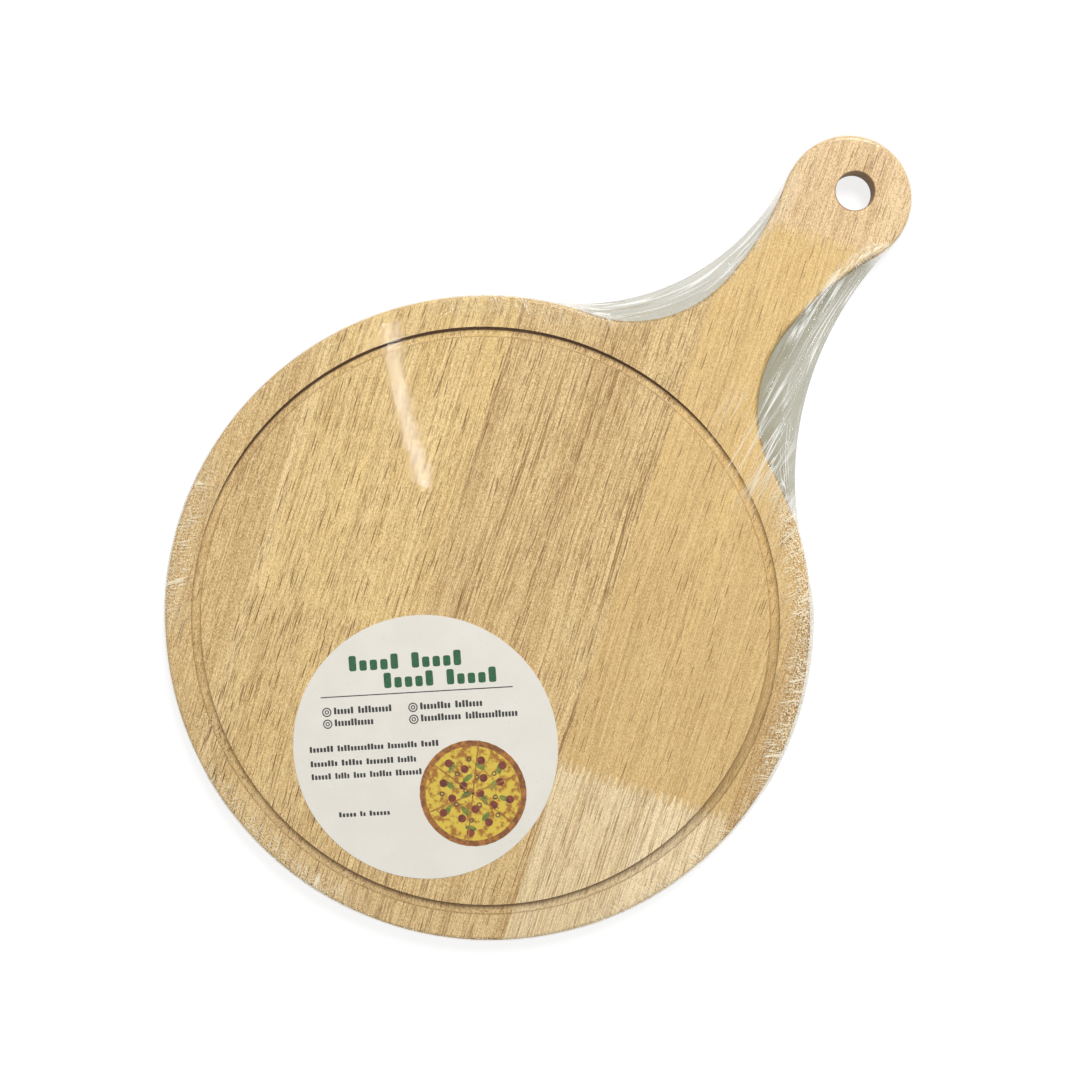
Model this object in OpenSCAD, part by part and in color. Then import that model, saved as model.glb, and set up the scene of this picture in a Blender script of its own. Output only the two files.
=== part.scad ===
// Round pizza serving board with a necked handle, edge-glued from wide staves.
// A round paper label lies on its top face and a clear shrink film wraps it all.
// The disc's centre is the origin, the handle points along +Y and the wrapped
// board rests on the plane z = 0.

/* [Board] */
// Diameter of the round board
disc_d = 300; // [284:2:360]
// Thickness of the wood
board_t = 12; // [10:0.5:20]
// Radius of the rounded edges, top and bottom
edge_r = 2; // [1:0.25:4]

/* [Handle] */
// Length of the handle from the disc's edge to its tip
handle_l = 131.5; // [124:0.5:150]
// Width of the handle's round end
tip_w = 57; // [50:1:64]
// Width of the neck where it is narrowest
neck_w = 36; // [28:1:42]
// Distance from the disc's edge to the narrowest place of the neck
neck_l = 43; // [38:1:50]
// Diameter of the hanging hole
hole_d = 17.5; // [8:0.5:19]
// Distance from the handle's tip to the centre of the hanging hole
hole_l = 23.5; // [20:0.5:30]

/* [Ring groove] */
// Width of the rim that the groove leaves at the disc's edge
rim_w = 13.3; // [8:0.1:20]
// Width of the groove at the top face
groove_w = 4.7; // [4.6:0.1:8]
// Depth of the groove
groove_depth = 2.2; // [1:0.1:2.3]
// Shift of the whole ring away from the handle
groove_shift = 1; // [0:0.1:3]

/* [Staves] */
// Width that the round cut leaves of the first stave, at the left
left_w = 39.9; // [25:0.1:50]
// Width that the round cut leaves of the fifth stave, at the right
right_w = 14.4; // [10:0.1:22]
// Distance of the round end's centre from the fourth stave's middle, to the right
handle_shift = 3.4; // [0:0.1:6]
// Length of the fingers of an end joint
finger_l = 5.8; // [3:0.1:8]
// Pitch of the fingers, before it is rounded to fill a stave
finger_pitch = 3.15; // [2.5:0.05:5]
// Least width of the plain shoulder between a finger and the board's edge
shoulder_w = 1.2; // [0.5:0.1:4]
// Distance of the second stave's end joint below the disc's centre
joint_2_l = 19.4; // [0:0.1:60]
// Distance of the fourth stave's lower end joint below the disc's centre
joint_4_l = 52; // [30:0.1:80]
// Distance along the grain from the hanging hole to the joint below it
joint_hole_l = 24.8; // [18:0.1:40]

/* [Label] */
// Diameter of the paper label
label_d = 124; // [60:1:130]
// Thickness of the paper label
label_t = 0.3; // [0.2:0.1:1]
// Least distance from the label to the ring groove
label_gap = 6.1; // [1:0.1:30]
// Turn from straight below the disc's centre to the label, anticlockwise
label_turn = 15.6; // [-60:0.1:60]

/* [Shrink film] */
// Thickness of one layer of film
film_t = 0.3; // [0.2:0.05:0.6]
// Room between the wood's edge and the film
film_gap = 0.3; // [0.2:0.05:1]
// Room between flat faces that lie on each other: film, wood, label and film
lay_gap = 0.05; // [0.02:0.01:0.1]
// Diameter of the opening in both layers round the hanging hole
film_hole_d = 21; // [20:0.5:26]
// How near the left web's free edge comes to the axis, as a share of the step from
// the neck's side (0) to the round end's side (1)
web_left_share = 0.59; // [0.45:0.01:0.97]
// The same share for the right web's free edge
web_right_share = 0.96; // [0.45:0.01:0.97]
// Height by which the webs' flat faces lie inside those of the film over the board
web_drop = 0.4; // [0.2:0.05:0.8]
// Depth by which a free edge's arc runs onto the wrapped wood at its ends
web_bite = 0.6; // [0.3:0.1:3]
// Width of the weld along a free edge
seam_w = 2; // [1:0.5:4]
// Width over which the two layers come together at a weld
web_slope_l = 13; // [8:1:18]

/* [Hidden] */
$fn = 180;

// Overrun of a cutting solid past what it cuts
over = 5;
// Share of a finger's pitch that its blunt tip takes
finger_tip_share = 0.14;

disc_r = disc_d / 2;
tip_r = tip_w / 2;
neck_r = neck_w / 2;
tip_y = disc_r + handle_l - tip_r;
neck_y = disc_r + neck_l;
hole_y = disc_r + handle_l - hole_l;
reach = disc_r + handle_l + over;

// Heights of the layers, from the surface that the wrapped board rests on
wood_z = film_t + lay_gap;
top_z = wood_z + board_t;
label_z = top_z + lay_gap;
wrap_h = label_z + label_t + lay_gap + film_t;
seam_z = wrap_h / 2;

// Three full staves fill the disc between the two outer ones. Their glue lines
// are counted across the grain from the disc's centre.
full_staves = 3;
stave_w = (disc_d - left_w - right_w) / full_staves;
glue_1 = left_w - disc_r;
glue_2 = glue_1 + stave_w;
glue_3 = glue_2 + stave_w;
glue_4 = glue_3 + stave_w;

// Turn of the grain from the handle's axis, anticlockwise from above: the blank is
// turned until the round end lies in the fourth stave
grain_turn = asin(((glue_3 + glue_4) / 2 + handle_shift) / tip_y);

// Radii and centre of the ring groove, and the place of the label inside it
groove_r = disc_r - rim_w - groove_w / 2;
label_away = groove_r - groove_w / 2 - label_gap - label_d / 2;
label_place = [label_away * sin(label_turn), -groove_shift - label_away * cos(label_turn)];

// End joints
fingers = round(stave_w / finger_pitch);
pitch = stave_w / fingers;
finger_tip = pitch * finger_tip_share;
joint_4_high = hole_y * cos(grain_turn) - joint_hole_l;

// Depth by which the neck's arcs run into the round outlines that they blend with,
// so that the curves cross and don't just touch
blend_bite = 0.1;

// Radius of a concave arc whose centre lies straight out from the narrowest place
// of the neck and which blends with a circle of radius big, away along the axis
function blend_r(away, big) =
    let (target = big - blend_bite)
    (away * away + neck_r * neck_r - target * target) / (2 * (target - neck_r));

neck_low_r = blend_r(neck_y, disc_r);
neck_high_r = blend_r(tip_y - neck_y, tip_r);

// Place across the grain where the handle's side crosses the height v along the
// grain: side is -1 on the left and 1 on the right
function handle_side(side, v) =
    let (x = side * (neck_r + neck_high_r),
         across = x * cos(grain_turn) + neck_y * sin(grain_turn),
         along = neck_y * cos(grain_turn) - x * sin(grain_turn))
    across - side * sqrt(neck_high_r * neck_high_r - (v - along) * (v - along));

// Number of the last finger that an end joint of the fourth stave, at the height v
// along the grain, has room for inside the disc
function last_finger(v) =
    let (far = abs(v) + finger_l / 2, side = sqrt(disc_r * disc_r - far * far))
    min(fingers, floor((side - shoulder_w - glue_3) / pitch)) - 1;

// How far the wrapped outline stands out from the wood's
wrap_grow = film_gap + film_t;

// Radii of the wrapped disc and of the wrapped round end, less the depth by which
// the webs' free edges run onto them
bite_disc_r = disc_r + wrap_grow - web_bite;
bite_tip_r = tip_r + wrap_grow - web_bite;

// Radius of a web's free edge: an arc that runs onto the wrapped disc and onto the
// wrapped round end and comes as near to the axis as the share says
function web_r(share) =
    let (near = neck_r + share * (bite_tip_r - neck_r),
         slant = (bite_disc_r - bite_tip_r) / tip_y,
         level = (tip_y * tip_y + bite_disc_r * bite_disc_r - bite_tip_r * bite_tip_r) / (2 * tip_y),
         half = bite_disc_r - near - level * slant,
         rest = level * level - bite_disc_r * bite_disc_r + near * near)
    (half - sqrt(half * half - slant * slant * rest)) / (slant * slant);

// Centre of a web's free edge of radius r, if the web lies right of the handle
function web_centre(r) =
    let (from_disc = bite_disc_r + r,
         from_tip = bite_tip_r + r,
         y = (from_disc * from_disc - from_tip * from_tip + tip_y * tip_y) / (2 * tip_y))
    [sqrt(from_disc * from_disc - y * y), y];

web_left_r = web_r(web_left_share);
web_right_r = web_r(web_right_share);

// Side view of a board's edge: a slab h thick with round edges at its right side
module edge_profile(right, h, round_r) {
    square([right - round_r, h]);
    translate([0, round_r]) square([right, h - 2 * round_r]);
    for (z = [round_r, h - round_r]) translate([right - round_r, z]) circle(round_r);
}

// Round slab with rounded edges
module puck(r, h, round_r) {
    rotate_extrude() intersection() {
        edge_profile(r, h, round_r);
        square([r, h]);
    }
}

// What is taken off beside the neck, on the handle's side of its narrowest place:
// half of a round cutter of radius r whose ends flare out by round_r, so that they
// leave the neck's edges rounded
module neck_cutter(r, h, round_r) {
    rotate_extrude(angle = 180) difference() {
        translate([0, -over]) square([r + round_r, h + 2 * over]);
        if (round_r > 0)
            translate([2 * (r + round_r), 0]) mirror([1, 0])
                edge_profile(r + 2 * round_r, h, round_r);
    }
}

// The neck between the disc and the round end, grown by grow: its sides are arcs
// that touch both of them and meet at the neck's narrowest place
module neck(grow, h, round_r) {
    low_turn = atan2(neck_y, neck_r + neck_low_r);
    high_turn = atan2(tip_y - neck_y, neck_r + neck_high_r);
    low_y = (disc_r + grow) * sin(low_turn);
    high_y = tip_y - (tip_r + grow) * sin(high_turn);
    half = (disc_r + grow) * cos(low_turn);
    difference() {
        translate([-half, low_y, 0]) cube([2 * half, high_y - low_y, h]);
        for (side = [-1, 1]) {
            translate([side * (neck_r + neck_high_r), neck_y, 0])
                neck_cutter(neck_high_r - grow, h, round_r);
            translate([side * (neck_r + neck_low_r), neck_y, 0]) rotate([0, 0, 180])
                neck_cutter(neck_low_r - grow, h, round_r);
        }
    }
}

// The board's outline grown by grow, as a slab h thick whose edges are rounded by
// round_r, and by neck_round_r beside the neck
module board_slab(grow, h, round_r, neck_round_r) {
    puck(disc_r + grow, h, round_r);
    translate([0, tip_y, 0]) puck(tip_r + grow, h, round_r);
    neck(grow, h, neck_round_r);
}

// The ring groove's cutting solid: a ring of round section, sunk to groove_depth
module groove_ring() {
    section_r = (groove_w * groove_w / 4 + groove_depth * groove_depth) / (2 * groove_depth);
    translate([0, -groove_shift, top_z - groove_depth + section_r]) rotate_extrude()
        translate([groove_r, 0]) circle(section_r);
}

// The whole board in one piece, before it is divided into staves
module board() {
    difference() {
        translate([0, 0, wood_z]) board_slab(0, board_t, edge_r, edge_r);
        groove_ring();
        translate([0, hole_y, wood_z - over]) cylinder(d = hole_d, h = board_t + 2 * over);
    }
}

// Points of an end joint from the left glue line to the right one, centred on the
// height v along the grain: a comb of blunt fingers, numbered from first to last
// across the stave, between two plain shoulders
function comb(left, v, first, last) = concat(
    [[left, v - finger_l / 2]],
    [for (i = [first : last], p = [[0, -1], [finger_tip, -1], [pitch / 2, 1],
                                   [pitch / 2 + finger_tip, 1]])
        [left + i * pitch + p.x, v + p.y * finger_l / 2]],
    [[left + (last + 1) * pitch, v - finger_l / 2], [left + stave_w, v - finger_l / 2]]);

// Points of a straight end at the height v along the grain
function straight(left, right, v) = [[left, v], [right, v]];

function backwards(points) = [for (i = [len(points) - 1 : -1 : 0]) points[i]];

joint_2 = comb(glue_1, -joint_2_l, 0, fingers - 1);
joint_4_low = comb(glue_3, -joint_4_l, 0, last_finger(-joint_4_l));
joint_4_up = comb(glue_3, joint_4_high,
    ceil((handle_side(-1, joint_4_high + finger_l / 2) + shoulder_w - glue_3) / pitch),
    floor((handle_side(1, joint_4_high - finger_l / 2) - shoulder_w - glue_3) / pitch) - 1);

// The part of the board between two ends, each a row of points from left to right
module stave(low_end, high_end) {
    intersection() {
        board();
        rotate([0, 0, grain_turn]) translate([0, 0, wood_z - over])
            linear_extrude(board_t + 2 * over) polygon(concat(low_end, backwards(high_end)));
    }
}

module stave_1() {
    color([0.81, 0.70, 0.51])
        stave(straight(-reach, glue_1, -reach), straight(-reach, glue_1, reach));
}

module stave_2_upper() {
    color([0.83, 0.72, 0.52])
        stave(joint_2, straight(glue_1, glue_2, reach));
}

module stave_2_lower() {
    color([0.80, 0.68, 0.49])
        stave(straight(glue_1, glue_2, -reach), joint_2);
}

module stave_3() {
    color([0.79, 0.67, 0.48])
        stave(straight(glue_2, glue_3, -reach), straight(glue_2, glue_3, reach));
}

module stave_4_handle() {
    color([0.88, 0.76, 0.57])
        stave(joint_4_up, straight(glue_3, glue_4, reach));
}

module stave_4_middle() {
    color([0.86, 0.74, 0.51])
        stave(joint_4_low, joint_4_up);
}

module stave_4_lower() {
    color([0.86, 0.78, 0.62])
        stave(straight(glue_3, glue_4, -reach), joint_4_low);
}

module stave_5() {
    color([0.82, 0.70, 0.49])
        stave(straight(glue_4, reach, -reach), straight(glue_4, reach, reach));
}

module label() {
    color("white")
        translate([label_place.x, label_place.y, label_z]) cylinder(d = label_d, h = label_t);
}

// What is taken off beyond a web's free edge. skin is the height that is left on
// each side of the weld, and start is how far the weld runs in from the edge.
module web_cutter(r, skin, start) {
    steep = web_slope_l / (seam_z - film_t);
    far = seam_z + over;
    rotate_extrude() polygon([[0, -far], [r + seam_w + (far - skin) * steep, -far],
        [r + seam_w, -skin], [r + start, -skin], [r + start, skin], [r + seam_w, skin],
        [r + seam_w + (far - skin) * steep, far], [0, far]]);
}

// The flat tube of film between the disc and the handle's round end. drop is how
// far its flat faces lie inside the outer faces of the film over the board.
module web(drop, skin, start) {
    left = web_centre(web_left_r);
    right = web_centre(web_right_r);
    left_foot = left * disc_r / norm(left);
    right_foot = right * disc_r / norm(right);
    difference() {
        translate([0, 0, drop]) linear_extrude(wrap_h - 2 * drop)
            polygon([[0, 0], right_foot, [right_foot.x, right.y], [0, tip_y],
                [-left_foot.x, left.y], [-left_foot.x, left_foot.y]]);
        translate([-left.x, left.y, seam_z]) web_cutter(web_left_r, skin, start);
        translate([right.x, right.y, seam_z]) web_cutter(web_right_r, skin, start);
    }
}

// The film as one closed bag with a hollow for the board. It is too stiff to follow
// the neck's rounded edges, so there its sides stand straight.
module film() {
    difference() {
        union() {
            board_slab(wrap_grow, wrap_h, edge_r + wrap_grow, 0);
            web(web_drop, film_t, 0);
        }
        translate([0, 0, film_t])
            board_slab(film_gap, wrap_h - 2 * film_t, edge_r + film_gap, 0);
        web(web_drop + film_t, 0, seam_w);
        translate([0, hole_y, -over]) cylinder(d = film_hole_d, h = wrap_h + 2 * over);
    }
}

module film_upper() {
    color([0.92, 0.94, 0.95, 0.3]) intersection() {
        film();
        translate([-reach, -reach, seam_z]) cube([2 * reach, 2 * reach, wrap_h]);
    }
}

module film_lower() {
    color([0.92, 0.94, 0.95, 0.3]) intersection() {
        film();
        translate([-reach, -reach, seam_z - wrap_h]) cube([2 * reach, 2 * reach, wrap_h]);
    }
}

stave_1();
stave_2_upper();
stave_2_lower();
stave_3();
stave_4_handle();
stave_4_middle();
stave_4_lower();
stave_5();
label();
film_upper();
film_lower();
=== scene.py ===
"""Looks of a round pizza serving board in clear shrink film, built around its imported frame.

The staves and the label keep their solids and get their finishes here. The film is
modelled anew as one thin puckered bag, and the label's print is laid on it as ink.
Lengths are in metres in the frame of the part: the disc's centre is the origin, the
handle points along +Y and the wrapped board rests on z = 0.
"""

import logging
import math
from dataclasses import dataclass, field
from enum import Enum

import bmesh
import bpy
from mathutils import Euler, Matrix, Vector, noise


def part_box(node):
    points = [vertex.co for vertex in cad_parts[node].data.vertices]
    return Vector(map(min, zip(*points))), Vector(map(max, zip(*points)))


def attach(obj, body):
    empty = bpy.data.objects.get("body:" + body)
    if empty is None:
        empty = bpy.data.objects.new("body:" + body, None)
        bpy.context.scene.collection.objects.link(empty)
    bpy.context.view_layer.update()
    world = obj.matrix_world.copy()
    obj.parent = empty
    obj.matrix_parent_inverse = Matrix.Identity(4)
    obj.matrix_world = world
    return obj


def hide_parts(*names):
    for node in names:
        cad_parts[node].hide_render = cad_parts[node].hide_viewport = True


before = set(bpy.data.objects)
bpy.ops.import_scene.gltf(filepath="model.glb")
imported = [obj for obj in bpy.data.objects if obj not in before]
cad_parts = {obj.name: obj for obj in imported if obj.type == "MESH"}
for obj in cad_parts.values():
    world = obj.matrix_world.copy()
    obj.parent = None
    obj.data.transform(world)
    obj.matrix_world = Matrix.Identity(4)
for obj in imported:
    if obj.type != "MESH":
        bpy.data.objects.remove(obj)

logging.basicConfig(level=logging.INFO, format="%(message)s")
LOG = logging.getLogger("serving_board")

MM = 0.001
Socket = bpy.types.NodeSocket
Mesh = bmesh.types.BMesh
Colour = tuple[float, float, float, float]
Marks = tuple[float, float, float, float]
WHITE: Colour = (1.0, 1.0, 1.0, 1.0)
FILM_MARKS = ("web", "hem", "pucker", "haze_and_shade", "band", "weld", "along", "way")


def paint(red: int, green: int, blue: int) -> Colour:
    """Turns a colour written for a screen into the linear one that shaders take.

    Args:
        red: Red from 0 to 255.
        green: Green from 0 to 255.
        blue: Blue from 0 to 255.

    Returns:
        The linear colour with full alpha.
    """
    def linear(level: int) -> float:
        """Linear value of one channel."""
        share = level / 255
        return share / 12.92 if share <= 0.04045 else ((share + 0.055) / 1.055) ** 2.4

    return (linear(red), linear(green), linear(blue), 1.0)


def clamp(value: float, low: float = 0.0, high: float = 1.0) -> float:
    """Keeps a value between low and high."""
    return max(low, min(high, value))


def ease(value: float, start: float, end: float) -> float:
    """Smooth step from 0 at start to 1 at end."""
    share = clamp((value - start) / (end - start))
    return share * share * (3 - 2 * share)


def window(value: float, marks: Marks) -> float:
    """Smooth rise from 0 to 1 between the first two marks, and fall between the last two."""
    return ease(value, marks[0], marks[1]) * (1 - ease(value, marks[2], marks[3]))


def linked(name: str, data: bpy.types.ID) -> bpy.types.Object:
    """Makes an object of its data and links it to the scene."""
    made = bpy.data.objects.new(name, data)
    bpy.context.scene.collection.objects.link(made)
    return made


class Recipe:
    """A node material under construction, with short calls for its common nodes."""

    def __init__(self, name: str, world: bpy.types.World | None = None) -> None:
        """Starts an empty material, or the surroundings if a world is given.

        Args:
            name: The material's name.
            world: The world whose nodes are set instead.
        """
        self.material = world or bpy.data.materials.new(name)
        self.material.use_nodes = True
        self.nodes = self.material.node_tree.nodes
        self.links = self.material.node_tree.links
        self.nodes.clear()
        self.output = self.nodes.new("ShaderNodeOutputWorld" if world else "ShaderNodeOutputMaterial")

    def feed(self, socket: Socket, value: object) -> None:
        """Links a socket to an output, or sets its value.

        Args:
            socket: The input to feed.
            value: Another node's output, a number or a colour.
        """
        if isinstance(value, Socket):
            self.links.new(value, socket)
        else:
            socket.default_value = value

    def add(self, kind: str, inputs: dict | None = None, **settings: object) -> bpy.types.Node:
        """Adds a node.

        Args:
            kind: The node's type name.
            inputs: Values or outputs for its inputs, by name or by index.
            **settings: The node's own settings.

        Returns:
            The new node.
        """
        node = self.nodes.new(kind)
        for key, value in settings.items():
            setattr(node, key, value)
        for key, value in (inputs or {}).items():
            self.feed(node.inputs[key], value)
        return node

    def place(self) -> Socket:
        """The place on the object, in metres in the part's frame."""
        return self.add("ShaderNodeTexCoord").outputs["Object"]

    def turned(self, vector: object, turn: float, shift: tuple = (0, 0, 0)) -> Socket:
        """Turns a vector about Z and then shifts it."""
        inputs = {"Vector": vector, "Rotation": (0, 0, turn), "Location": shift}
        return self.add("ShaderNodeMapping", inputs).outputs[0]

    def scaled(self, vector: object, scale: tuple) -> Socket:
        """Scales a vector, axis by axis."""
        return self.add("ShaderNodeMapping", {"Vector": vector, "Scale": scale}).outputs[0]

    def cloud(self, vector: object, scale: float = 1, detail: float = 2, rough: float = 0.5) -> Socket:
        """Noise from 0 to 1."""
        inputs = {"Vector": vector, "Scale": scale, "Detail": detail, "Roughness": rough}
        return self.add("ShaderNodeTexNoise", inputs).outputs[0]

    def sums(self, operation: str, a: object, b: object = 0.0) -> Socket:
        """One step of arithmetic."""
        return self.add("ShaderNodeMath", {0: a, 1: b}, operation=operation).outputs[0]

    def times(self, a: object, b: object) -> Socket:
        """Product of two values."""
        return self.sums("MULTIPLY", a, b)

    def most(self, a: object, b: object) -> Socket:
        """The larger of two values."""
        return self.sums("MAXIMUM", a, b)

    def joined(self, x: object, y: object = 0.0, z: object = 0.0) -> Socket:
        """A vector from its parts."""
        return self.add("ShaderNodeCombineXYZ", {0: x, 1: y, 2: z}).outputs[0]

    def parted(self, vector: object) -> list[Socket]:
        """The parts of a vector."""
        return list(self.add("ShaderNodeSeparateXYZ", {0: vector}).outputs)

    def layers(self, share: object, a: object, b: object) -> Socket:
        """Mixes two shaders."""
        return self.add("ShaderNodeMixShader", {0: share, 1: a, 2: b}).outputs[0]

    def span(
        self, value: object, low: float, high: float, out_low: float = 0, out_high: float = 1
    ) -> Socket:
        """Carries low..high over to out_low..out_high, smoothly and with ends that hold."""
        inputs = {"Value": value, "From Min": low, "From Max": high, "To Min": out_low, "To Max": out_high}
        return self.add("ShaderNodeMapRange", inputs, interpolation_type="SMOOTHSTEP").outputs[0]

    def blend(self, share: object, a: object, b: object, way: str = "MIX") -> Socket:
        """Mixes two colours."""
        node = self.add("ShaderNodeMix", {0: share, 6: a, 7: b}, data_type="RGBA", blend_type=way)
        return node.outputs[2]

    def bump(self, height: object, strength: float, distance: float) -> Socket:
        """A bumped normal."""
        inputs = {"Height": height, "Strength": strength, "Distance": distance}
        return self.add("ShaderNodeBump", inputs).outputs[0]

    def finish(self, shader: Socket) -> bpy.types.Material:
        """Ends the material with its shader."""
        self.links.new(shader, self.output.inputs["Surface"])
        return self.material


@dataclass(frozen=True)
class WoodFinish:
    """Raw plantation wood: broad bands, fibres, dark lines and open pores along the grain.

    The scales of its noise are in waves per metre: across the grain, along it and across.
    """

    name: str
    pale: Colour
    deep: Colour
    band_w: float = 14 * MM
    band_share: float = 0.6
    line_share: float = 0.3
    pore_share: float = 0.4
    pore_dark: float = 0.7
    contrast: float = 1.14
    patch: Colour = paint(214, 186, 120)
    patch_share: float = 0.0
    shift: tuple[float, float, float] = (0.0, 0.0, 0.0)
    turn: float = math.radians(22.802)
    groove_r: float = 134.35 * MM
    groove_y: float = -1.0 * MM
    groove_top: float = 12.2 * MM
    # Direction round Z where the painted groove shade lies on the outer wall; on the opposite side it lies
    # on the inner wall.
    groove_shade_turn: float = math.radians(135)
    strip_x: float = 0.0
    hole_y: float = 0.0
    hole_r: float = 9.3 * MM
    tone: Colour = (0.99, 0.97, 0.965, 1.0)
    strip_light: Colour = paint(246, 222, 172)
    fibre_dark: Colour = paint(154, 114, 50)
    fibre_light: Colour = paint(242, 216, 160)
    grit_dark: Colour = paint(142, 103, 42)
    grit_light: Colour = paint(250, 228, 172)
    line_dark: Colour = paint(130, 88, 32)
    pore_inside: Colour = paint(92, 50, 6)
    # Colour of the painted shade in the groove.
    groove_shade_dark: Colour = paint(70, 38, 4)
    # Colour of the painted shade on the wall of the hanging hole.
    hole_wall_shade: Colour = paint(92, 54, 14)

    def material(self) -> bpy.types.Material:
        """Builds the wood's node material.

        Returns:
            The material.
        """
        mix = Recipe(self.name)
        place = mix.place()
        along = mix.turned(place, -self.turn, self.shift)
        sway = mix.cloud(mix.scaled(along, (26, 7, 26)), detail=1)
        bend = mix.joined(mix.span(sway, 0.2, 0.8, -1.6 * MM, 1.6 * MM))
        grain = mix.add("ShaderNodeVectorMath", {0: along, 1: bend}, operation="ADD").outputs[0]

        across = 1 / self.band_w
        band = mix.cloud(mix.scaled(grain, (across, 5, across)), detail=3, rough=0.55)
        band = mix.times(mix.span(band, 0.34, 0.66), self.band_share)
        colour = mix.blend(band, self.pale, self.deep)
        if self.patch_share:
            spot = mix.cloud(mix.scaled(grain, (70, 14, 70)), detail=2)
            colour = mix.blend(mix.span(spot, 0.46, 0.66, 0, self.patch_share), colour, self.patch)

        if self.strip_x:
            side = mix.parted(along)[0]
            side = mix.sums("ABSOLUTE", mix.sums("SUBTRACT", side, self.strip_x + self.shift[0]))
            colour = mix.blend(mix.span(side, 1.8 * MM, 2.8 * MM, 0.45, 0.0), colour, self.strip_light)

        rich = self.contrast
        fibre = mix.cloud(mix.scaled(grain, (1500, 24, 1500)), detail=2, rough=0.7)
        colour = mix.blend(mix.span(fibre, 0.36, 0.58, 0.42 * rich, 0.0), colour, self.fibre_dark)
        light = mix.cloud(mix.scaled(grain, (1400, 22, 1400)), detail=2, rough=0.6)
        colour = mix.blend(mix.span(light, 0.5, 0.68, 0.0, 0.46 * rich), colour, self.fibre_light)
        grit = mix.cloud(mix.scaled(grain, (2700, 1300, 2700)), detail=1, rough=0.6)
        colour = mix.blend(mix.span(grit, 0.3, 0.5, 0.5 * rich, 0.0), colour, self.grit_dark)
        colour = mix.blend(mix.span(grit, 0.5, 0.7, 0.0, 0.5 * rich), colour, self.grit_light)

        crowd = mix.cloud(mix.scaled(grain, (95, 7, 95)), detail=2)
        line = mix.cloud(mix.scaled(grain, (1350, 8, 1350)), detail=0)
        line = mix.span(line, 0.53, 0.66, 0, self.line_share)
        worn = mix.cloud(mix.scaled(grain, (900, 90, 900)), detail=2)
        line = mix.times(line, mix.span(worn, 0.4, 0.54, 0.4, 1.0))
        line = mix.times(line, mix.span(crowd, 0.36, 0.62, 0.3, 1.0))
        colour = mix.blend(line, colour, self.line_dark)

        pore = self.pores(mix, grain, 0.7 * MM, 17 * MM, self.pore_share * 0.5, 0.0)
        fine = self.pores(mix, grain, 0.42 * MM, 9 * MM, self.pore_share, 3.1)
        pore = mix.most(pore, mix.times(fine, 0.8))
        colour = mix.blend(mix.times(pore, self.pore_dark), colour, self.pore_inside)
        # Painted shade: the groove's walls are darkened where they face away from the light, and a little
        # on both walls.
        colour = mix.blend(self.groove_shade(mix, place), colour, self.groove_shade_dark)
        # Painted shade: the wall of the hanging hole is darkened in a ring.
        if self.hole_y:
            flat = mix.scaled(place, (1, 1, 0))
            hole = mix.add("ShaderNodeVectorMath", {0: flat, 1: (0, self.hole_y, 0)}, operation="DISTANCE")
            inside = mix.span(hole.outputs["Value"], self.hole_r - 0.3 * MM, self.hole_r, 0.66, 0.0)
            colour = mix.blend(inside, colour, self.hole_wall_shade)

        colour = mix.blend(1.0, colour, self.tone, "MULTIPLY")

        relief = mix.sums("SUBTRACT", mix.times(fibre, 0.35), pore)
        inputs = {
            "Base Color": colour,
            "Roughness": mix.span(fibre, 0.2, 0.8, 0.56, 0.7),
            "Specular IOR Level": 0.3,
            "Normal": mix.bump(relief, 0.25, 0.08 * MM),
        }
        return mix.finish(mix.add("ShaderNodeBsdfPrincipled", inputs).outputs[0])

    def pores(
        self, mix: Recipe, grain: object, wide: float, long: float, share: float, jump: float
    ) -> Socket:
        """Open pores: short tubes along the grain, one at most in each cell.

        Args:
            mix: The material under construction.
            grain: The place along the grain.
            wide: Width of a cell.
            long: Length of a cell.
            share: Share of the cells that hold a pore.
            jump: Shift that keeps two layers of pores apart.

        Returns:
            1 in a pore and 0 between them.
        """
        cells = mix.scaled(grain, (1 / wide, 1 / long, 1 / wide))
        cells = mix.turned(cells, 0.0, (jump, jump * 2, jump))
        node = mix.add("ShaderNodeTexVoronoi", {"Vector": cells, "Scale": 1.0}, feature="F1")
        pick = mix.add("ShaderNodeSeparateColor", {0: node.outputs["Color"]}).outputs[0]
        crowd = mix.cloud(mix.scaled(grain, (60, 6, 60)), detail=2)
        chosen = mix.sums("LESS_THAN", pick, mix.span(crowd, 0.3, 0.7, share * 0.4, share * 1.7))
        dash = mix.span(node.outputs["Distance"], 0.23, 0.35, 1, 0)
        return mix.times(dash, chosen)

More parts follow.
